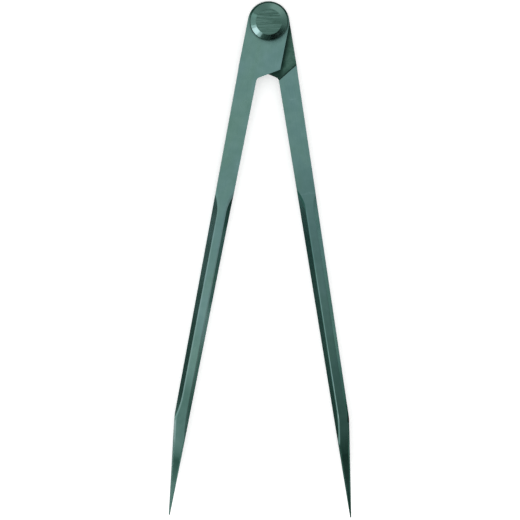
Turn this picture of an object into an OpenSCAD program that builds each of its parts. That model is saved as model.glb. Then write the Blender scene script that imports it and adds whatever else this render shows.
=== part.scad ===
// Firm-joint dividers: two half-lapped steel legs with bevelled shanks and ground points,
// turning on one large-headed rivet. Millimetres. The pivot axis is the Z axis, the points
// lie towards -Y and Z = 0 is the outer face of the rear washer.

/* [Opening] */
// Angle between the inner edges of the two legs
opening = 20.5; // [0:0.5:150]

/* [Legs] */
// Distance from the pivot to the points
leg_length = 300; // [260:5:400]
// Thickness of a leg
leg_t = 6.5; // [5.5:0.25:9]
// Width of a leg just below the head
neck_w = 11.7; // [10.5:0.1:12]
// Width of a leg where its point begins
shank_w = 8.9; // [8:0.1:10]
// Gap between the inner edges of the closed legs
closing_gap = 0.7; // [0.1:0.1:1]

/* [Head] */
// Width of the flat head of a leg, and of its round end
head_w = 24.6; // [24.4:0.2:30]
// Distance from the pivot to the round end of the head
head_reach = 11.8; // [11.4:0.1:14]
// Distance from the pivot to the lower edge of the head, along the inner edge
lap_reach = 34.5; // [33:0.1:42]
// Slope of the head's lower edge and of the shoulder
lap_angle = 32; // [20:0.5:35]
// Gap between the head's lower edge and the other leg's shoulder when closed
shoulder_gap = 1.3; // [0.6:0.1:3]
// Radius in the corner between the head and the inner edge
notch_r = 2.6; // [1:0.2:5]
// Length over which the head narrows to the neck
neck_blend = 7; // [4:1:12]

/* [Bevels] */
// Width of the flat strip left between the bevels of a face
strip_w = 5.2; // [4:0.1:6]
// Distance of that strip from the middle: outwards on one face, inwards on the other
strip_shift = 0.35; // [0:0.05:0.5]
// Slope of the bevels from the face
bevel_angle = 41; // [35:1:50]
// Distance from the pivot to the full depth of the outer bevel
outer_bevel_start = 119; // [90:1:140]
// Distance from the pivot to the full depth of the inner bevel
inner_bevel_start = 116.5; // [90:0.5:140]
// Distance from the end of the outer bevel's full depth to the point
outer_bevel_stop = 72; // [60:1:80]
// Distance from the end of the inner bevel's full depth to the point
inner_bevel_stop = 65; // [56:1:80]
// Radius of the wheel that runs out at the bevels' upper ends and in the point's grind
wheel_r = 40; // [20:5:80]
// Radius of the run-out at the lower end of the outer bevel
outer_runout_r = 85; // [40:5:150]
// Radius of the run-out at the lower end of the inner bevel
inner_runout_r = 160; // [60:10:200]
// Width of the narrow facet that breaks the edge between bevel and face
break_w = 0.7; // [0.3:0.1:1]
// Slope of that narrow facet from the face
break_angle = 20; // [12:1:30]

/* [Points] */
// Length of the tapered point
point_length = 59; // [45:1:80]
// Radius of the bend where the outer edge turns into the point
bend_r = 50; // [20:5:80]
// Width of the blunt tip
tip_w = 0.7; // [0.3:0.1:1]
// Thickness of the blunt tip
tip_t = 0.6; // [0.4:0.1:1.5]
// Length over which the two faces are ground thinner
grind_length = 34; // [20:1:45]
// Thickness of the point where its last steeper grind begins
last_grind_t = 3.6; // [2:0.1:4]
// Length of the last steeper grind
last_grind_length = 17; // [8:1:19]
// Width of the chamfer along the point's edges where the grind begins
point_chamfer = 1.3; // [0.6:0.1:1.6]
// Width of that chamfer at the tip
tip_chamfer = 0.2; // [0.1:0.05:0.3]

/* [Rivet] */
// Diameter of the rivet's shank
shank_d = 8; // [6:0.5:10]
// Diameter of the rivet's head
rivet_head_d = 22; // [18:0.2:24]
// Diameter of the flat face on the head
rivet_face_d = 15.4; // [11:0.2:16]
// Height of the head
rivet_head_h = 4.2; // [3:0.1:6]
// Height of the head's upright rim
rivet_rim_h = 1.3; // [0.6:0.1:2]
// Radius that softens the head's edges
rivet_soft_r = 0.3; // [0.1:0.05:0.4]
// Diameter of the peened tail at the back
tail_d = 12; // [11:0.5:14]
// Depth of the countersink that the tail fills
tail_h = 1.8; // [1:0.1:2.2]

/* [Washers] */
// Diameter of the rear washer
rear_washer_d = 22.8; // [18:0.2:24]
// Thickness of the rear washer
rear_washer_t = 3; // [2.5:0.1:4]
// Width of the chamfer round the rear washer
rear_chamfer = 1.4; // [0.5:0.1:2]
// Diameter of the friction washer between the laps
joint_washer_d = 21; // [16:0.5:23]
// Thickness of the friction washer
joint_washer_t = 0.4; // [0.2:0.1:1]

/* [Fits] */
// Clearance round the rivet, measured on the radius
pivot_clearance = 0.05; // [0.02:0.01:0.1]

/* [Hidden] */

steel = [0.42, 0.53, 0.50];
dark_steel = [0.34, 0.46, 0.42];
brass = [0.72, 0.58, 0.30];

round_fn = 96;
wheel_fn = 720;
eps = 0.01;
past = 20;
over = 1;

edge_x = closing_gap / 2;
head_x = head_w / 2;
bore_r = shank_d / 2 + pivot_clearance;
lap_t = (leg_t - joint_washer_t) / 2;
shoulder_reach = lap_reach + shoulder_gap / cos(lap_angle);
neck_s = lap_reach - head_x * tan(lap_angle) + neck_blend;
point_s = leg_length - point_length;

// The leg's outer edge below the head, as a width that narrows evenly to the point
function leg_w(s) = neck_w + (shank_w - neck_w) * (s - neck_s) / (point_s - neck_s);

// The centreline of the shank, which the bevels follow
mid_lean = atan((neck_w - shank_w) / 2 / (point_s - neck_s));
mid_x = edge_x + leg_w(0) / 2;

// Plan angle of the point's outer edge from its inner edge
point_slope = atan((shank_w - tip_w) / point_length);
bend_steps = 6;
soft_steps = 4;
hollow_steps = 8;

// Share of the shallow grind's depth that is reached in the wheel's hollow start
hollow_share = 1 / 3;

// Run-out radius of the narrow facet over that of its bevel, which keeps its width even
facet_share = sin(bevel_angle) / sin(break_angle);

// How much further the narrow facet's full depth reaches than that of its bevel
facet_lead = 1;

// Slope of the chamfers along the point's edges
chamfer_angle = 45;

function unit(v) = v / norm(v);

function turn(a) = a > 180 ? a - 360 : a < -180 ? a + 360 : a;

// Points of an arc of radius r that rounds the corner b between the points a and c
function round_corner(a, b, c, r, steps) =
    let (u = unit(a - b),
         v = unit(c - b),
         half = acos(u * v) / 2,
         centre = b + unit(u + v) * r / sin(half),
         p = b + u * r / tan(half) - centre,
         q = b + v * r / tan(half) - centre,
         first = atan2(p.y, p.x),
         sweep = turn(atan2(q.y, q.x) - first))
    [for (i = [0:steps]) centre + r * [cos(first + sweep * i / steps), sin(first + sweep * i / steps)]];

// Flat shape of the leg seen from the front. The leg lies on the +X side of its inner edge
// and its head reaches over to the -X side.
module leg_outline() {
    neck = [edge_x + neck_w, -neck_s];
    bend = [edge_x + shank_w, -point_s];
    tip = [edge_x + tip_w, -leg_length];
    round_y = head_reach - head_x;
    difference() {
        union() {
            translate([0, round_y]) circle(r = head_x, $fn = round_fn);
            polygon(concat(
                [[-head_x, round_y],
                 [-head_x, head_x * tan(lap_angle) - lap_reach],
                 [edge_x, -lap_reach - edge_x * tan(lap_angle)],
                 [edge_x, -leg_length],
                 tip],
                round_corner(tip, bend, neck, bend_r, bend_steps),
                [neck,
                 [head_x, -neck_s + neck_blend],
                 [head_x, round_y]]));
            notch_web();
        }
        circle(r = bore_r, $fn = round_fn);
    }
}

// Metal left in the corner between the head's lower edge and the inner edge
module notch_web() {
    half_corner = (90 + lap_angle) / 2;
    run = notch_r / tan(half_corner);
    corner_y = -lap_reach - edge_x * tan(lap_angle);
    difference() {
        polygon([
            [edge_x + eps, corner_y + eps],
            [edge_x - run * cos(lap_angle), corner_y + run * sin(lap_angle) + eps],
            [edge_x - run * cos(lap_angle), corner_y + run * sin(lap_angle)],
            [edge_x, corner_y - run],
            [edge_x + eps, corner_y - run]]);
        translate([edge_x - notch_r, corner_y - run]) circle(r = notch_r, $fn = round_fn);
    }
}

// Space above the lap, from the shoulder up past the head
module lap_space() {
    far = 2 * head_w;
    rise = far * tan(lap_angle);
    translate([0, 0, lap_t]) linear_extrude(leg_t)
        polygon([
            [-far, -shoulder_reach - rise],
            [far, -shoulder_reach + rise],
            [far, head_reach + past],
            [-far, head_reach + past]]);
}

// Grinding cut along an edge of the shank: flat to full depth between two distances from
// the pivot, with the wheel's round run-out at each end. The ground plane is y = 0 here,
// metal lies below it, and the cut runs along +X from the pivot.
module wheel_cut(from, to, r_from, r_to) {
    translate([0, 0, -past / 2]) linear_extrude(past) {
        translate([from, 0]) square([to - from, past]);
        translate([from, r_from]) circle(r = r_from, $fn = wheel_fn);
        translate([to, r_to]) circle(r = r_to, $fn = wheel_fn);
    }
}

// One bevel and the narrow facet above it, on the outer side (side = 1) or inner side (-1)
module shank_bevel(side, shift) {
    start = side > 0 ? outer_bevel_start : inner_bevel_start;
    stop = leg_length - (side > 0 ? outer_bevel_stop : inner_bevel_stop);
    stop_r = side > 0 ? outer_runout_r : inner_runout_r;
    strip_edge = strip_w / 2 + side * shift;
    break_depth = break_w * tan(break_angle);
    along_edge(side, strip_edge - break_depth / tan(bevel_angle), bevel_angle)
        wheel_cut(start, stop, wheel_r, stop_r);
    along_edge(side, strip_edge - break_w, break_angle)
        wheel_cut(start - facet_lead, stop + facet_lead, wheel_r * facet_share, stop_r * facet_share);
}

// Both bevels of a face whose flat strip lies a little to +X of the middle
module shank_bevels(shift) {
    shank_bevel(1, shift);
    shank_bevel(-1, shift);
}

// Puts a cut on the front face, at a distance from the shank's centreline, sloping down
// towards that side
module along_edge(side, offset_x, slope) {
    translate([mid_x, 0, leg_t]) rotate([0, 0, -mid_lean])
        translate([side * offset_x, 0, 0]) rotate([0, side * slope, 0])
            side_view() children();
}

// Turns a shape drawn in side view, with X as the distance from the pivot and Y up, so that
// its X runs along the leg towards the point, its Y runs up and it is extruded across the leg
module side_view() {
    multmatrix([[0, 0, 1, 0], [-1, 0, 0, 0], [0, 1, 0, 0], [0, 0, 0, 1]]) children();
}

// Metal ground off the front face of the point, in a hollow start, a shallow slope and a
// steeper last slope. Side view: X runs from the pivot and Y up from the face.
module face_grind() {
    first_s = leg_length - grind_length;
    last_s = leg_length - last_grind_length;
    last_depth = (leg_t - last_grind_t) / 2;
    tip_depth = (leg_t - tip_t) / 2;
    start_depth = last_depth * hollow_share;
    slope = atan((last_depth - start_depth) / (last_s - first_s));
    wheel = [first_s + wheel_r * sin(slope), wheel_r * cos(slope) - start_depth];
    steepest = acos((wheel.y - eps) / wheel_r);
    hollow = [for (i = [0:hollow_steps])
        let (a = steepest + (slope - steepest) * i / hollow_steps)
        wheel - wheel_r * [sin(a), cos(a)]];
    translate([-past, 0, leg_t]) side_view() linear_extrude(2 * past)
        polygon(concat(
            hollow,
            [[last_s, -last_depth],
             [leg_length + eps, -tip_depth],
             [leg_length + eps, past],
             [hollow[0].x, past]]));
}

// Chamfers along the two front edges of the point, which fade out towards the shank
module point_chamfers() {
    fall = atan((leg_t - tip_t) / 2 / grind_length);
    narrowing = atan((point_chamfer - tip_chamfer) * sin(chamfer_angle) / grind_length);
    for (side = [-1, 1])
        translate([side < 0 ? edge_x : edge_x + tip_w, -leg_length, (leg_t + tip_t) / 2])
            rotate([0, 0, side < 0 ? 0 : -point_slope])
                rotate([fall, 0, 0]) rotate([0, side * chamfer_angle, 0])
                    translate([0, 0, -tip_chamfer * sin(chamfer_angle)]) rotate([-narrowing, 0, 0])
                        translate([-past / 2, -over, 0]) cube([past, point_length, past]);
}

// A whole leg as it lies at the right: lap at the back, bevels on both faces
module leg() {
    difference() {
        linear_extrude(leg_t) leg_outline();
        lap_space();
        shank_bevels(strip_shift);
        back_face() shank_bevels(-strip_shift);
        face_grind();
        back_face() face_grind();
        point_chamfers();
        back_face() point_chamfers();
    }
}

// Does the front face's work on the back face
module back_face() {
    translate([0, 0, leg_t]) mirror([0, 0, 1]) children();
}

module right_leg() {
    color(steel)
        translate([0, 0, rear_washer_t]) rotate([0, 0, opening / 2]) leg();
}

module left_leg() {
    color(steel)
        translate([0, 0, rear_washer_t + leg_t]) rotate([0, 0, -opening / 2])
            rotate([0, 180, 0]) leg();
}

module joint_washer() {
    color(brass)
        translate([0, 0, rear_washer_t + lap_t])
            difference() {
                cylinder(h = joint_washer_t, d = joint_washer_d, $fn = round_fn);
                translate([0, 0, -over])
                    cylinder(h = joint_washer_t + 2 * over, r = bore_r, $fn = round_fn);
            }
}

module rear_washer() {
    outer_r = rear_washer_d / 2;
    color(dark_steel)
        rotate_extrude($fn = round_fn)
            polygon([
                [tail_d / 2 + pivot_clearance, 0],
                [outer_r - rear_chamfer, 0],
                [outer_r, rear_chamfer],
                [outer_r, rear_washer_t],
                [bore_r, rear_washer_t],
                [bore_r, tail_h]]);
}

module rivet() {
    head_z = rear_washer_t + leg_t;
    color(dark_steel) {
        rotate_extrude($fn = round_fn)
            polygon([
                [0, 0],
                [tail_d / 2, 0],
                [shank_d / 2, tail_h],
                [shank_d / 2, head_z + eps],
                [0, head_z + eps]]);
        translate([0, 0, head_z]) rotate_extrude($fn = round_fn) rivet_head_profile();
    }
}

// Half section of the rivet's head: upright rim, wide cone and flat face, edges softened
module rivet_head_profile() {
    foot = [rivet_head_d / 2, 0];
    rim = [rivet_head_d / 2, rivet_rim_h];
    brow = [rivet_face_d / 2, rivet_head_h];
    crown = [0, rivet_head_h];
    polygon(concat(
        [[0, 0], foot],
        round_corner(foot, rim, brow, rivet_soft_r, soft_steps),
        round_corner(rim, brow, crown, rivet_soft_r, soft_steps),
        [crown]));
}

right_leg();
left_leg();
joint_washer();
rear_washer();
rivet();
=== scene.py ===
"""Looks for the firm-joint dividers: ground steel legs, a turned rivet head and a pale studio."""

import math

import bpy
from mathutils import Matrix, Vector

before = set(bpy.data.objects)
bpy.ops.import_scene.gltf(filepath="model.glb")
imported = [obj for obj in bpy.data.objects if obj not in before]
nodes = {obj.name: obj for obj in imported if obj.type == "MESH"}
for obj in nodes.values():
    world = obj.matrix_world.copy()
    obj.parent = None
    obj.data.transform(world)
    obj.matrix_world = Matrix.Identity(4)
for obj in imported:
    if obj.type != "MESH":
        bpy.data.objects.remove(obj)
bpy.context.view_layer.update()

MM = 0.001

# The photograph's view: what its middle looks at, its width, and where the camera stands
VIEW_WIDTH = 309.2 * MM
VIEW_MIDDLE = Vector((-2.75 * MM, -142.1 * MM, 9.5 * MM))
VIEW_FROM_LEFT = math.radians(2.0)
VIEW_FROM_HEAD = math.radians(3.5)
VIEW_ROLL = math.radians(0.985)
VIEW_LENS = 1000.0
VIEW_CLIP = (0.1, 100.0)
SENSOR_WIDTH = 36.0

# The legs: half the angle between them, the heights of their back, front and lap, and the
# length from pivot to points in millimetres, which is the unit of places in the tone lists
HALF_OPENING = math.radians(10.25)
LEG_BACK = 3.0 * MM
LEG_FRONT = 9.5 * MM
LAP_MIDDLE = (LEG_BACK + LEG_FRONT) / 2
LEG_LENGTH = 300.0

# Places on a leg stood upright, from the pivot: the lap's inner lower corner, the shank's
# middle at the pivot's height and the tip's outer corner. The first number is the distance
# outwards, away from the other leg. A lean is how far a line runs inwards towards the point.
LAP_CORNER = (-0.5 * MM, -31.5 * MM, 0.0)
SHANK_MIDDLE = (6.43 * MM, 0.0)
SHANK_LEAN = math.radians(0.387)
POINT_TIP = (1.05 * MM, -LEG_LENGTH * MM)
POINT_LEAN = math.radians(7.9)

# Kinds of surface, by how level they are: the share of their normal along Z. A pair says where
# a kind begins and where it is full. Three numbers are a band's limits and their softness.
FACE_SLOPE = (0.985, 0.995)
FACET_SLOPE = (0.92, 0.96, 0.02)
BEVEL_SLOPE = (0.6, 0.8, 0.08)
RIVET_FLAT_SLOPE = (0.95, 0.99)
# Which side a bevel or a facet is on, by the share of its normal towards that side
BEVEL_ASIDE = (0.2, 0.4)
FACET_ASIDE = (-0.3, 0.3)
# A face is a lap within the first of these distances from the middle height, and fades to the
# second
LAP_DEPTH = (0.3 * MM, 0.5 * MM)

# Colours on the screen, in 8 bits
LEG_BLUE = (96, 131, 129)
LEG_GREEN = (94, 130, 121)
LAP_COLOUR = (66, 99, 88)
# The next colour is painted shade, for corners and beside what stands close
SHADE_COLOUR = (17, 39, 33)
RIVET_COLOUR = (67, 102, 93)
BRASS_COLOUR = (184, 148, 77)
# Dark steel is greener: its red and its blue are these powers of its tone
RED_POWER = 1.42
BLUE_POWER = 1.12
# The legs' blue fades from all to this share along this stretch from the pivot
BLUE_FADE = (212 * MM, 236 * MM, 1.0, 0.3)

# Noises: how far each is squeezed along X, Y and Z, or None, then scale, detail and roughness
GRINDING = ((1.0, 0.02, 1.0), 5200.0, 2.0, 0.6)
HUES = ((1.0, 0.5, 1.0), 55.0, 3.0, 0.55)
CLOUDS = (None, 160.0, 4.0, 0.6)
CROSS_MARKS = ((0.06, 1.0, 1.0), 900.0, 2.0, 0.5)
LONG_MARKS = ((1.0, 0.03, 1.0), 1400.0, 2.0, 0.5)
PITS = (None, 1500.0, 2.0, 0.5)
LAP_MOTTLE = (None, 420.0, 3.0, 0.6)
RIVET_STREAKS = ((0.05, 1.0, 1.0), 1700.0, 3.0, 0.6)
RIVET_SCRATCHES = ((0.04, 1.0, 1.0), 3600.0, 2.0, 0.6)
RIVET_TURNING = (None, 4200.0, 2.0, 0.6)
RIVET_CLOUDS = (None, 260.0, 3.0, 0.6)
BRASS_GRAIN = (None, 400.0, 3.0, 0.6)

# Where a noise that only shows in places begins to show, and where it shows fully
CROSS_MARK_PEAKS = (0.66, 0.74)
CROSS_MARK_PLACES = (0.5, 0.62)
LONG_MARK_PEAKS = (0.7, 0.8)
PIT_PEAKS = (0.72, 0.78)

# The part of a noise that is used where it varies something, and what it varies from and to
NOISE_MIDDLE = (0.3, 0.7)
LEG_CLOUD_TONES = (0.95, 1.05)
LEG_ROUGHNESS = (0.26, 0.33)
UNEVEN_RUN = (-1.5 * MM, 1.5 * MM)
RIVET_TURNED_TONES = (0.95, 1.06)
RIVET_SCRATCH_TONES = (0.92, 1.08)
RIVET_CLOUD_TONES = (0.94, 1.06)
RIVET_ROUGHNESS = (0.15, 0.2)
BRASS_TONES = (0.8, 1.1)
BRASS_ROUGHNESS = (0.3, 0.42)
# The same, with the part of the noise that is used given first
GRINDING_TONES = (0.2, 0.8, 0.96, 1.04)
LAP_MOTTLE_TONES = (0.35, 0.65, -0.1, 0.16)
STREAK_TONES = (0.38, 0.62, -1.0, 1.0)
# How much the streaks on the rivet's flat face count, from its lower side to its middle
STREAK_SHARE = (-6.0 * MM, 2.0 * MM, 0.18, 0.36)

# Tones of single features. 1 leaves the surface as it is.
MARK_TONE = 1.14
PIT_TONE = 0.8
WORN_TONE = 1.2
RIVET_WORN_TONE = 1.15
# Painted shade: the ring on the head round the rivet
CROWN_SHADE_TONE = 0.25
# Painted shade: the side of the right leg's lit facet next to its bevel
FACET_SHADE_TONE = 0.45

# The ring of painted shade on the head: where it begins round the rivet, and where it begins
# upwards
CROWN_SHADE_RADIUS = (10.9 * MM, 11.3 * MM)
CROWN_SHADE_HEIGHT = (1.0 * MM, 6.0 * MM)
# The patch of painted light along the point's outer edge, a highlight on the left leg and a shade
# on the right, is full within the first distance, gone at the second
PAINTED_EDGE_LIGHT_WIDTH = (0.4 * MM, 1.6 * MM)
# On the right leg, painted shade covers the lit facet beyond this distance inwards from the
# shank's middle, and only near the height of the front
FACET_SHADE_INWARDS = (1.78 * MM, 1.98 * MM)
FACET_SHADE_HEIGHT = (LAP_MIDDLE, LEG_FRONT - 1.0 * MM)

# Edges are worn within a radius. Wear is full where a rounded normal has less than the first
# cosine to the surface's own, and none above the second.
LEG_EDGE_RADIUS = 0.35 * MM
RIVET_EDGE_RADIUS = 0.3 * MM
BRASS_EDGE_RADIUS = 0.1 * MM
WEAR_COSINES = (0.8, 0.98)
WEAR_SAMPLES = 6

# Painted shade lies within a reach of a corner or of what stands close. It is full where a place
# is less open than the first number and none above the second.
HEAD_SHADE_REACH = 5.0 * MM
LEG_SHADE_REACH = 1.2 * MM
RIVET_SHADE_REACH = 1.5 * MM
BRASS_SHADE_REACH = 1.0 * MM
SHADE_OPENNESS = (0.55, 0.8)
LEANED_SHADE_OPENNESS = (0.5, 0.86)
SHADE_SAMPLES = 8
# A lean of the normal that puts the painted shade below and to the right of what stands on the
# face, as a shadow falls
SHADE_LEAN = (-0.45, 0.6, 0.0)
# How much of the surface the painted shade covers
LEG_SHADE = 0.95
RIVET_SHADE = 0.8
BRASS_SHADE = 0.5
# The painted shade in the lap's corner: full within the first distance, gone at the second, and
# how much
LAP_CORNER_SHADE = (2.0 * MM, 6.0 * MM, 0.8)

# How much rougher a part is than the rest of its piece. The bevels are smoother.
LAP_ROUGHER = 0.15
BEVEL_ROUGHER = -0.06
RIVET_FLAT_ROUGHER = 0.1
# The thin clear coat of oil on the rivet
RIVET_COAT = 0.4
COAT_ROUGHNESS = 0.15

# Fine relief: its strength and depth, and the share of it that marks are sunk by
STEEL_RELIEF = (0.15, 0.02 * MM)
BRASS_RELIEF = (0.1, 0.02 * MM)
MARK_RELIEF = -0.5

# Painted light and shade on a leg's surfaces, partly the steel's own unevenness, by the distance
# from the pivot in
# millimetres: painted dark reflections on the bevels, a painted highlight on the lit facet, a
# painted level of its own on the far facet, and painted shade down the faces towards the points.
# The patch of painted light at the edge gives where it begins and ends, how softly, and its
# level.
LEFT_PAINTED_LEVELS = {
    "faces": [
        (0, 1.05), (30, 1.07), (95, 1.02), (112, 1.06), (144, 1.1), (180, 1.17), (192, 1.07),
        (204, 1.1), (216, 1.08), (226, 0.86), (246, 0.94), (257, 1.06), (262, 0.88),
        (267, 0.48), (272, 0.54), (279.5, 0.72), (281, 1.0), (300, 1.0),
    ],
    "outer_bevel": [
        (0, 0.85), (112, 0.88), (124, 1.25), (134, 1.12), (148, 1.12), (160, 1.0), (180, 0.8),
        (204, 0.74), (230, 0.7), (240, 0.8), (256, 1.3), (300, 1.3),
    ],
    "inner_bevel": [
        (0, 0.35), (122, 0.35), (131, 0.65), (145, 0.55), (168, 0.66), (180, 1.15), (192, 1.2),
        (203, 0.78), (225, 0.66), (234, 0.5), (246, 0.55), (256, 0.68), (300, 0.6),
    ],
    "painted_lit_facet": [
        (0, 1.0), (118, 1.1), (125, 1.3), (150, 1.45), (190, 1.4), (232, 1.4), (250, 1.1),
    ],
    "painted_far_facet": 1.3,
    "painted_edge_light": (242, 254, 8, 2.3),
}
RIGHT_PAINTED_LEVELS = {
    "faces": [
        (0, 1.04), (80, 1.0), (96, 0.95), (108, 0.91), (165, 0.95), (185, 0.82), (216, 0.74),
        (238, 0.76), (247, 0.83), (256, 0.65), (262, 0.5), (282, 0.7), (286, 0.5), (300, 0.4),
    ],
    "outer_bevel": [
        (0, 0.8), (118, 0.8), (124, 0.68), (132, 0.8), (150, 0.78), (165, 0.7), (180, 0.7),
        (192, 0.84), (204, 0.72), (216, 0.52), (230, 0.47), (236, 0.22), (246, 0.22),
        (256, 0.4),
    ],
    "inner_bevel": [
        (0, 0.6), (118, 0.68), (126, 0.58), (132, 0.46), (142, 0.56), (160, 0.64), (200, 0.7),
        (212, 0.66), (236, 0.54), (300, 0.5),
    ],
    "painted_lit_facet": [
        (0, 0.5), (106, 0.5), (110, 0.75), (116, 0.95), (145, 1.05), (160, 1.3), (195, 1.3),
        (206, 1.55), (216, 1.7), (236, 1.75), (241, 2.3), (247, 2.5), (254, 2.9), (258, 0.9),
    ],
    "painted_far_facet": 0.92,
    "painted_edge_light": (236, 242.5, 2, 0.05),
}

# The floor lies just below the object, so that no two faces share one plane
FLOOR_SIZE = 60.0
FLOOR_PLACE = (0.0, 0.0, -0.2 * MM)
FLOOR_COLOUR = (0.9, 0.9, 0.9, 1.0)
FLOOR_GLOW = 0.4

# The dome is white above the second of these heights. Below the first it has walls, whose
# brightness is given by the angle from +X towards +Y in degrees.
WALL_TOP = math.sin(math.radians(18))
DOME_FOOT = math.sin(math.radians(35))
DOME_COLOUR = (1.0, 1.0, 1.0, 1.0)
DOME_LEVEL = 1.0
WALLS = [
    (-180, 0.15), (-160, 0.3), (-145, 0.6), (-118, 0.6), (-100, 0.25), (-90, 0.1), (-75, 0.0),
    (-50, 0.0), (-38, 0.06), (-26, 0.3), (-14, 0.65), (0, 0.75), (20, 1.1), (40, 1.65),
    (75, 1.65), (92, 1.1), (110, 0.95), (145, 1.0), (160, 0.5), (170, 0.15), (180, 0.15),
]
# The red and the blue of a wall are these powers of its brightness
WALL_RED_POWER = 1.18
WALL_BLUE_POWER = 1.04

# The card is dense in two steps down its right part, and faintly across its whole foot. A step
# gives where it is full, where it begins and how dense it is.
CARD_SIZE = 0.7
CARD_PLACE = (0.05, -0.25, 0.15)
CARD_COLOUR = (0.06, 0.1, 0.09, 1.0)
CARD_RIGHT = (-15 * MM, 30 * MM)
CARD_UPPER_STEP = (-125 * MM, -85 * MM, 0.45)
CARD_LOWER_STEP = (-275 * MM, -195 * MM, 0.45)
CARD_FOOT = (-250 * MM, -215 * MM, 0.25)

# The key is a square soft box. Its level is its radiance.
KEY_PLACE = (-0.5, -0.7, 0.65)
KEY_TARGET = (0.0, -0.15, 0.0)
KEY_SIZE = 0.4
KEY_LEVEL = 2.0

# Low soft boxes round the rivet. Each has its angle from +X towards +Y and half the angle
# that it spans, in degrees, then its colour and its radiance.
RIVET_LAMP_TARGET = Vector((0.0, 0.0, 12.0 * MM))
RIVET_LAMP_REACH = 0.5
RIVET_LAMP_RISE = math.radians(8.0)
RIVET_LAMP_DEPTH = 0.1
RIVET_LAMPS = [
    ("rivet_left", 178, 24, (1.0, 0.95, 1.0), 1.6),
    ("rivet_front", 221, 23, (1.0, 0.8, 0.92), 2.9),
    ("rivet_glint", 219, 12, (1.0, 0.66, 0.81), 4.3),
]


class Graph:
    """Short calls for building one node tree."""

    def __init__(self, tree):
        self.tree = tree
        tree.nodes.clear()

    def add(self, kind, **settings):
        node = self.tree.nodes.new(kind)
        for key, value in settings.items():
            setattr(node, key, value)
        return node

    def feed(self, socket, value):
        """Link an input to another node's output, or set it to a plain value."""
        if isinstance(value, bpy.types.NodeSocket):
            self.tree.links.new(value, socket)
        else:
            socket.default_value = value

    def feed_all(self, sockets, values):
        for socket, value in zip(sockets, values):
            self.feed(socket, value)

    def math(self, operation, *values):
        node = self.add("ShaderNodeMath", operation=operation)
        self.feed_all(node.inputs, values)
        return node.outputs[0]

    def product(self, *values):
        result = values[0]
        for value in values[1:]:
            result = self.math("MULTIPLY", result, value)
        return result

    def vec(self, operation, *vectors):
        node = self.add("ShaderNodeVectorMath", operation=operation)
        self.feed_all(node.inputs, vectors)
        scalar = operation in ("DOT_PRODUCT", "LENGTH", "DISTANCE")
        return node.outputs["Value"] if scalar else node.outputs["Vector"]

    def xyz(self, vector):
        node = self.add("ShaderNodeSeparateXYZ")
        self.feed(node.inputs[0], vector)
        return tuple(node.outputs)

    def join(self, x, y, z):
        node = self.add("ShaderNodeCombineXYZ")
        self.feed_all(node.inputs, (x, y, z))
        return node.outputs[0]

    def ramp(self, value, low, high, out_low=0.0, out_high=1.0):
        """Smooth step from out_low at low to out_high at high."""
        node = self.add("ShaderNodeMapRange", interpolation_type="SMOOTHSTEP")
        self.feed_all(node.inputs, (value, low, high, out_low, out_high))
        return node.outputs[0]

    def fall(self, value, low, high, top=1.0):
        """Smooth step from top at low down to 0 at high."""
        return self.ramp(value, low, high, top, 0.0)

    def band(self, value, low, high, soft):
        """1 between low and high, falling to 0 over soft at each side."""
        rise = self.ramp(value, low - soft, low)
        return self.math("MULTIPLY", rise, self.fall(value, high, high + soft))

    def noise(self, where, pattern):
        squeeze, scale, detail, roughness = pattern
        if squeeze is not None:
            where = self.vec("MULTIPLY", where, squeeze)
        node = self.add("ShaderNodeTexNoise")
        self.feed(node.inputs["Vector"], where)
        self.feed(node.inputs["Scale"], scale)
        self.feed(node.inputs["Detail"], detail)
        self.feed(node.inputs["Roughness"], roughness)
        return node.outputs["Fac"]

    def vary(self, noise, span):
        """A noise spread over a span of two numbers."""
        return self.ramp(noise, *NOISE_MIDDLE, *span)

    def mix(self, factor, a, b, blend="MIX"):
        node = self.add("ShaderNodeMix", data_type="RGBA", blend_type=blend)
        self.feed(node.inputs[0], factor)
        colours = [socket for socket in node.inputs if socket.type == "RGBA"]
        self.feed_all(colours, (a, b))
        return next(socket for socket in node.outputs if socket.type == "RGBA")

    def colour_ramp(self, value, stops):
        """Colours that run evenly between stops, each a place from 0 to 1 and a colour."""
        node = self.add("ShaderNodeValToRGB")
        elements = node.color_ramp.elements
        while len(elements) < len(stops):
            elements.new(0.5)
        for element, (place, colour) in zip(elements, stops):
            element.position = place
            element.color = (*colour, 1.0)
        self.feed(node.inputs[0], value)
        return node.outputs[0]

    def bump(self, height, strength, depth):
        node = self.add("ShaderNodeBump")
        self.feed(node.inputs["Strength"], strength)
        self.feed(node.inputs["Distance"], depth)
        self.feed(node.inputs["Height"], height)
        return node.outputs[0]

    def own_normal(self):
        return self.add("ShaderNodeNewGeometry").outputs["Normal"]

    def close(self, shader, kind="ShaderNodeOutputMaterial"):
        """Link a shader to the tree's output."""
        self.feed(self.add(kind).inputs["Surface"], shader)


def new_material(name):
    material = bpy.data.materials.new(name)
    material.use_nodes = True
    return material, Graph(material.node_tree)


# Parts of materials
def screen(colour):
    """Linear colour of an 8-bit screen colour."""

    def linear(level):
        level = level / 255
        return level / 12.92 if level <= 0.04045 else ((level + 0.055) / 1.055) ** 2.4

    return (*(linear(level) for level in colour), 1.0)


def blend_tone(g, mask, tone):
    """A factor that is tone where mask is 1, and 1 where it is 0."""
    return g.math("MULTIPLY_ADD", mask, tone - 1.0, 1.0)


def steel_tone(g, tone):
    """A factor for steel: what is darker is also a little greener, as oiled steel is."""
    return g.join(g.math("POWER", tone, RED_POWER), tone, g.math("POWER", tone, BLUE_POWER))


def leg_tone(g, along, stops):
    """A level that runs evenly between the stops of a tone list."""
    greys = [(place / LEG_LENGTH, (level, level, level)) for place, level in stops]
    return g.colour_ramp(g.math("DIVIDE", along, LEG_LENGTH * MM), greys)


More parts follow.
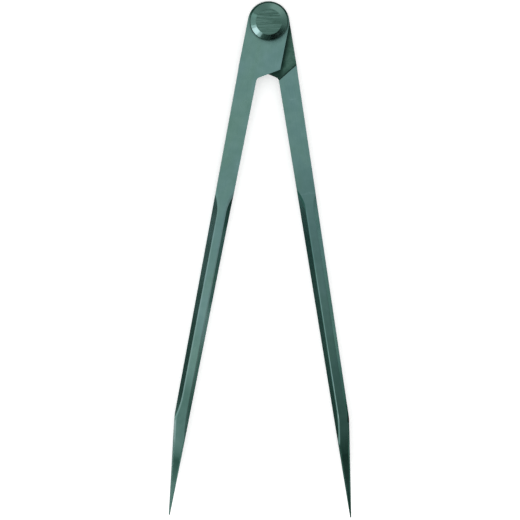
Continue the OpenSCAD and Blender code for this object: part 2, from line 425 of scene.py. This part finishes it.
def edge_wear(g, radius):
    """1 along edges, found by how far a rounded normal leaves the surface's own."""
    rounded = g.add("ShaderNodeBevel", samples=WEAR_SAMPLES)
    g.feed(rounded.inputs["Radius"], radius)
    return g.fall(g.vec("DOT_PRODUCT", rounded.outputs[0], g.own_normal()), *WEAR_COSINES)


def crevice(g, reach, lean=None):
    """A mask for painted shade: 1 in corners and beside what stands close, 0 in the open.

    With a lean it is strongest on the side away from where the normal leans to.
    """
    shade = g.add("ShaderNodeAmbientOcclusion", samples=SHADE_SAMPLES)
    g.feed(shade.inputs["Distance"], reach)
    if lean is None:
        return g.fall(shade.outputs["AO"], *SHADE_OPENNESS)
    g.feed(shade.inputs["Normal"], g.vec("NORMALIZE", g.vec("ADD", g.own_normal(), lean)))
    return g.fall(shade.outputs["AO"], *LEANED_SHADE_OPENNESS)


def inwards_of(g, out, y, place, lean):
    """Distance inwards from the line through place that leans so, on a leg stood upright."""
    aside = g.math("MULTIPLY", g.math("SUBTRACT", out, place[0]), math.cos(lean))
    above = g.math("MULTIPLY", g.math("SUBTRACT", y, place[1]), math.sin(lean))
    return g.math("SUBTRACT", above, aside)


def metal(g, colour, roughness, normal, coat=0.0):
    shader = g.add("ShaderNodeBsdfPrincipled")
    g.feed(shader.inputs["Base Color"], colour)
    g.feed(shader.inputs["Metallic"], 1.0)
    g.feed(shader.inputs["Coat Weight"], coat)
    g.feed(shader.inputs["Coat Roughness"], COAT_ROUGHNESS)
    g.feed(shader.inputs["Roughness"], roughness)
    g.feed(shader.inputs["Normal"], normal)
    g.close(shader.outputs[0])


# Materials
def leg_steel(name, side, painted_levels):
    """Satin steel ground along the leg. side is 1 for the right leg and -1 for the left."""
    material, g = new_material(name)
    coordinates = g.add("ShaderNodeTexCoord")
    where = coordinates.outputs["Object"]
    normal = coordinates.outputs["Normal"]
    upright = g.add("ShaderNodeVectorRotate", rotation_type="Z_AXIS")
    g.feed(upright.inputs["Vector"], where)
    g.feed(upright.inputs["Angle"], -side * HALF_OPENING)
    local = upright.outputs[0]
    x, y, z = g.xyz(local)
    out = g.math("MULTIPLY", x, side)
    along = g.math("MULTIPLY", y, -1.0)

    # Which surface this is
    outward_axis = (side * math.cos(HALF_OPENING), math.sin(HALF_OPENING), 0.0)
    outward = g.vec("DOT_PRODUCT", normal, outward_axis)
    inward = g.math("MULTIPLY", outward, -1.0)
    rightward = g.ramp(g.math("MULTIPLY", outward, side), *FACET_ASIDE)
    slope = g.math("ABSOLUTE", g.xyz(normal)[2])
    face = g.ramp(slope, *FACE_SLOPE)
    facet = g.band(slope, *FACET_SLOPE)
    # Facets carry painted light by the side they face: the left-facing one a painted highlight,
    # the right-facing one a painted level of its own
    painted_lit_facet = g.product(facet, g.math("SUBTRACT", 1.0, rightward))
    painted_far_facet = g.product(facet, rightward)
    bevel = g.band(slope, *BEVEL_SLOPE)
    outer_bevel = g.product(bevel, g.ramp(outward, *BEVEL_ASIDE))
    inner_bevel = g.product(bevel, g.ramp(inward, *BEVEL_ASIDE))
    from_middle = g.math("ABSOLUTE", g.math("SUBTRACT", z, LAP_MIDDLE))
    lap = g.product(g.fall(from_middle, *LAP_DEPTH), face)

    # Grain, hues, marks and wear, and painted shade in corners and beside what stands close
    grinding = g.noise(local, GRINDING)
    hues = g.noise(local, HUES)
    clouds = g.noise(local, CLOUDS)
    cross_marks = g.product(
        g.ramp(g.noise(local, CROSS_MARKS), *CROSS_MARK_PEAKS),
        g.ramp(clouds, *CROSS_MARK_PLACES),
    )
    long_marks = g.ramp(g.noise(local, LONG_MARKS), *LONG_MARK_PEAKS)
    marks = g.math("ADD", cross_marks, long_marks)
    pits = g.ramp(g.noise(local, PITS), *PIT_PEAKS)
    mottle = g.ramp(g.noise(local, LAP_MOTTLE), *LAP_MOTTLE_TONES)
    wear = edge_wear(g, LEG_EDGE_RADIUS)
    corner_shade = g.math(
        "MAXIMUM",
        crevice(g, HEAD_SHADE_REACH, SHADE_LEAN),
        crevice(g, LEG_SHADE_REACH),
    )
    # Painted shade in the lap's inner lower corner
    from_corner = g.vec("DISTANCE", g.join(out, y, 0.0), LAP_CORNER)
    lap_corner_shade = g.product(lap, g.fall(from_corner, *LAP_CORNER_SHADE))

    # Painted shade on the head's crown, in the ring round the rivet
    radius = g.vec("LENGTH", g.join(x, y, 0.0))
    crown_shade = g.product(g.ramp(radius, *CROWN_SHADE_RADIUS), g.ramp(g.xyz(where)[1], *CROWN_SHADE_HEIGHT))

    # Painted light beside the point's outer edge: a highlight on the left leg, a shade on the
    # right
    begin, end, soft, painted_edge_light_tone = painted_levels["painted_edge_light"]
    painted_edge_light = g.product(
        g.math("MAXIMUM", face, painted_far_facet),
        g.fall(inwards_of(g, out, y, POINT_TIP, POINT_LEAN), *PAINTED_EDGE_LIGHT_WIDTH),
        g.band(along, begin * MM, end * MM, soft * MM),
    )

    # On the right leg, painted shade covers the side of the lit facet next to its bevel, which
    # leaves a fine painted highlight line
    facet_shade = g.product(
        painted_lit_facet,
        g.ramp(inwards_of(g, out, y, SHANK_MIDDLE, SHANK_LEAN), *FACET_SHADE_INWARDS),
        g.ramp(z, *FACET_SHADE_HEIGHT),
    )

    # Painted light and shade on each kind of surface along the leg, with a slightly uneven run
    uneven = g.math("ADD", along, g.vary(clouds, UNEVEN_RUN))
    painted_shank = leg_tone(g, uneven, painted_levels["faces"])
    painted_shank = g.mix(outer_bevel, painted_shank, leg_tone(g, uneven, painted_levels["outer_bevel"]))
    painted_shank = g.mix(inner_bevel, painted_shank, leg_tone(g, uneven, painted_levels["inner_bevel"]))
    painted_shank = g.mix(painted_lit_facet, painted_shank, leg_tone(g, uneven, painted_levels["painted_lit_facet"]))

    tone = g.product(
        g.vary(clouds, LEG_CLOUD_TONES),
        g.ramp(grinding, *GRINDING_TONES),
        blend_tone(g, marks, MARK_TONE),
        blend_tone(g, pits, PIT_TONE),
        blend_tone(g, wear, WORN_TONE),
        blend_tone(g, painted_far_facet, painted_levels["painted_far_facet"]),
        painted_shank,
        blend_tone(g, crown_shade, CROWN_SHADE_TONE),
        blend_tone(g, painted_edge_light, painted_edge_light_tone),
        blend_tone(g, facet_shade, FACET_SHADE_TONE),
        g.math("MULTIPLY_ADD", mottle, lap, 1.0),
    )
    blue = g.product(g.vary(hues, (0.0, 1.0)), g.ramp(along, *BLUE_FADE))
    colour = g.mix(blue, screen(LEG_GREEN), screen(LEG_BLUE))
    colour = g.mix(lap, colour, screen(LAP_COLOUR))
    colour = g.mix(1.0, colour, steel_tone(g, tone), "MULTIPLY")
    # Painted shade over the colour: in corners, beside what stands close and in the lap's corner
    all_shade = g.math("MAXIMUM", g.product(corner_shade, LEG_SHADE), lap_corner_shade)
    colour = g.mix(all_shade, colour, screen(SHADE_COLOUR))
    rougher = g.math("MULTIPLY_ADD", lap, LAP_ROUGHER, g.product(bevel, BEVEL_ROUGHER))
    roughness = g.math("ADD", g.vary(hues, LEG_ROUGHNESS), rougher)
    relief = g.math("MULTIPLY_ADD", marks, MARK_RELIEF, grinding)
    metal(g, colour, roughness, g.bump(relief, *STEEL_RELIEF))
    return material


def rivet_steel(name):
    """Turned steel with straight scratches across its flat face."""
    material, g = new_material(name)
    coordinates = g.add("ShaderNodeTexCoord")
    where = coordinates.outputs["Object"]
    x, y, z = g.xyz(where)
    radius = g.vec("LENGTH", g.join(x, y, 0.0))
    slope = g.math("ABSOLUTE", g.xyz(coordinates.outputs["Normal"])[2])
    flat = g.ramp(slope, *RIVET_FLAT_SLOPE)
    streaks = g.ramp(g.noise(where, RIVET_STREAKS), *STREAK_TONES)
    fine = g.noise(where, RIVET_SCRATCHES)
    turned = g.noise(g.join(radius, 0.0, z), RIVET_TURNING)
    clouds = g.noise(where, RIVET_CLOUDS)
    scratched = g.product(
        g.math("MULTIPLY_ADD", streaks, g.ramp(y, *STREAK_SHARE), 1.0),
        g.vary(fine, RIVET_SCRATCH_TONES),
    )
    tone = g.product(
        g.mix(flat, g.vary(turned, RIVET_TURNED_TONES), scratched),
        g.vary(clouds, RIVET_CLOUD_TONES),
        blend_tone(g, edge_wear(g, RIVET_EDGE_RADIUS), RIVET_WORN_TONE),
    )
    colour = g.mix(1.0, screen(RIVET_COLOUR), steel_tone(g, tone), "MULTIPLY")
    # Painted shade in corners and beside what stands close
    corner_shade = g.product(crevice(g, RIVET_SHADE_REACH), RIVET_SHADE)
    colour = g.mix(corner_shade, colour, screen(SHADE_COLOUR))
    rougher = g.product(flat, RIVET_FLAT_ROUGHER)
    roughness = g.math("ADD", g.vary(clouds, RIVET_ROUGHNESS), rougher)
    relief = g.mix(flat, turned, fine)
    metal(g, colour, roughness, g.bump(relief, *STEEL_RELIEF), coat=RIVET_COAT)
    return material


def washer_brass(name):
    """Dull brass, with painted shade in its corners."""
    material, g = new_material(name)
    grain = g.noise(g.add("ShaderNodeTexCoord").outputs["Object"], BRASS_GRAIN)
    wear = edge_wear(g, BRASS_EDGE_RADIUS)
    tone = g.product(g.vary(grain, BRASS_TONES), blend_tone(g, wear, WORN_TONE))
    colour = g.mix(1.0, screen(BRASS_COLOUR), tone, "MULTIPLY")
    # Painted shade in corners and beside what stands close
    corner_shade = g.product(crevice(g, BRASS_SHADE_REACH), BRASS_SHADE)
    colour = g.mix(corner_shade, colour, screen(SHADE_COLOUR))
    metal(g, colour, g.vary(grain, BRASS_ROUGHNESS), g.bump(grain, *BRASS_RELIEF))
    return material


def dress(node, material):
    for slot in nodes[node].material_slots:
        slot.material = material


# Floor and lighting
def sheet(name, size, material, place):
    """A flat square at place that faces up and isn't part of the object."""
    half = size / 2
    corners = [(-half, -half, 0), (half, -half, 0), (half, half, 0), (-half, half, 0)]
    mesh = bpy.data.meshes.new(name)
    mesh.from_pydata(corners, [], [(0, 1, 2, 3)])
    mesh.materials.append(material)
    obj = bpy.data.objects.new(name, mesh)
    bpy.context.scene.collection.objects.link(obj)
    obj.matrix_world = Matrix.Translation(place)
    return obj


def floor_white():
    """Pale floor that shows white where nothing shades it, also in the steel."""
    material, g = new_material("floor")
    diffuse = g.add("ShaderNodeBsdfDiffuse")
    g.feed(diffuse.inputs["Color"], FLOOR_COLOUR)
    path = g.add("ShaderNodeLightPath")
    seen = g.math("MAXIMUM", path.outputs["Is Camera Ray"], path.outputs["Is Glossy Ray"])
    seen = g.math("MAXIMUM", seen, path.outputs["Is Transmission Ray"])
    glow = g.add("ShaderNodeEmission")
    g.feed(glow.inputs["Strength"], g.product(seen, FLOOR_GLOW))
    both = g.add("ShaderNodeAddShader")
    g.feed_all(both.inputs, (diffuse.outputs[0], glow.outputs[0]))
    g.close(both.outputs[0])
    return material


def studio_dome():
    """Even soft dome, with darker and brighter walls near the horizon."""
    world = bpy.data.worlds.new("studio")
    bpy.context.scene.world = world
    world.use_nodes = True
    g = Graph(world.node_tree)
    x, y, z = g.xyz(g.add("ShaderNodeTexCoord").outputs["Generated"])
    turn = g.math("MULTIPLY_ADD", g.math("ARCTAN2", y, x), 0.5 / math.pi, 0.5)
    stops = [
        (angle / 360 + 0.5, (level ** WALL_RED_POWER, level, level ** WALL_BLUE_POWER))
        for angle, level in WALLS
    ]
    upper = g.ramp(z, WALL_TOP, DOME_FOOT)
    sky = g.add("ShaderNodeBackground")
    g.feed(sky.inputs["Color"], g.mix(upper, g.colour_ramp(turn, stops), DOME_COLOUR))
    g.feed(sky.inputs["Strength"], DOME_LEVEL)
    g.close(sky.outputs[0], "ShaderNodeOutputWorld")


def shade_card():
    """Dark card over the lower right, seen only by the steel, that takes light off that leg."""
    material, g = new_material("card")
    x, y = g.xyz(g.add("ShaderNodeNewGeometry").outputs["Position"])[:2]
    steps = g.math("ADD", g.fall(y, *CARD_UPPER_STEP), g.fall(y, *CARD_LOWER_STEP))
    right_part = g.product(g.ramp(x, *CARD_RIGHT), steps)
    density = g.math("MAXIMUM", right_part, g.fall(y, *CARD_FOOT))
    clear = g.add("ShaderNodeBsdfTransparent")
    dark = g.add("ShaderNodeEmission")
    g.feed(dark.inputs["Color"], CARD_COLOUR)
    mixed = g.add("ShaderNodeMixShader")
    g.feed_all(mixed.inputs, (density, clear.outputs[0], dark.outputs[0]))
    g.close(mixed.outputs[0])
    card = sheet("card", CARD_SIZE, material, CARD_PLACE)
    card.visible_camera = False
    card.visible_diffuse = False
    card.visible_shadow = False


def soft_box(name, place, target, width, depth, radiance):
    data = bpy.data.lights.new(name, "AREA")
    data.shape = "RECTANGLE"
    data.size = width
    data.size_y = depth
    data.energy = radiance * math.pi * width * depth
    light = bpy.data.objects.new(name, data)
    bpy.context.scene.collection.objects.link(light)
    turn = (Vector(target) - Vector(place)).to_track_quat("-Z", "Y")
    light.matrix_world = Matrix.Translation(place) @ turn.to_matrix().to_4x4()
    light.visible_camera = False
    return light


def rivet_lamp(name, angle, half_span, colour, radiance, receivers):
    """Low soft box beside the head that lights the receivers alone."""
    turn = math.radians(angle)
    level = RIVET_LAMP_REACH * math.cos(RIVET_LAMP_RISE)
    rise = RIVET_LAMP_REACH * math.sin(RIVET_LAMP_RISE)
    place = RIVET_LAMP_TARGET + Vector((level * math.cos(turn), level * math.sin(turn), rise))
    width = 2 * RIVET_LAMP_REACH * math.tan(math.radians(half_span))
    lamp = soft_box(name, place, RIVET_LAMP_TARGET, width, RIVET_LAMP_DEPTH, radiance)
    lamp.data.color = colour
    lamp.light_linking.receiver_collection = receivers


def set_camera():
    """Long lens, a little to the left and towards the head from straight above."""
    data = bpy.data.cameras.new("camera")
    data.sensor_width = SENSOR_WIDTH
    data.lens = VIEW_LENS
    data.clip_start, data.clip_end = VIEW_CLIP
    camera = bpy.data.objects.new("camera", data)
    bpy.context.scene.collection.objects.link(camera)
    bpy.context.scene.camera = camera
    back = Vector((
        -math.sin(VIEW_FROM_LEFT) * math.cos(VIEW_FROM_HEAD),
        math.sin(VIEW_FROM_HEAD),
        math.cos(VIEW_FROM_LEFT) * math.cos(VIEW_FROM_HEAD),
    )).normalized()
    rolled_up = Vector((-math.sin(VIEW_ROLL), math.cos(VIEW_ROLL), 0.0))
    right = rolled_up.cross(back).normalized()
    turn = Matrix((right, back.cross(right), back)).transposed().to_4x4()
    distance = VIEW_LENS / SENSOR_WIDTH * VIEW_WIDTH
    camera.matrix_world = Matrix.Translation(VIEW_MIDDLE + back * distance) @ turn


rivet_metal = rivet_steel("rivet_steel")
dress("right_leg", leg_steel("right_leg_steel", 1, RIGHT_PAINTED_LEVELS))
dress("left_leg", leg_steel("left_leg_steel", -1, LEFT_PAINTED_LEVELS))
dress("rivet", rivet_metal)
dress("rear_washer", rivet_metal)
dress("joint_washer", washer_brass("washer_brass"))

sheet("floor", FLOOR_SIZE, floor_white(), FLOOR_PLACE)
studio_dome()
shade_card()
rivet_alone = bpy.data.collections.new("rivet_alone")
rivet_alone.objects.link(nodes["rivet"])
for lamp_settings in RIVET_LAMPS:
    rivet_lamp(*lamp_settings, rivet_alone)
soft_box("key", KEY_PLACE, KEY_TARGET, KEY_SIZE, KEY_SIZE, KEY_LEVEL)
set_camera()
bpy.context.scene.view_settings.view_transform = "Standard"
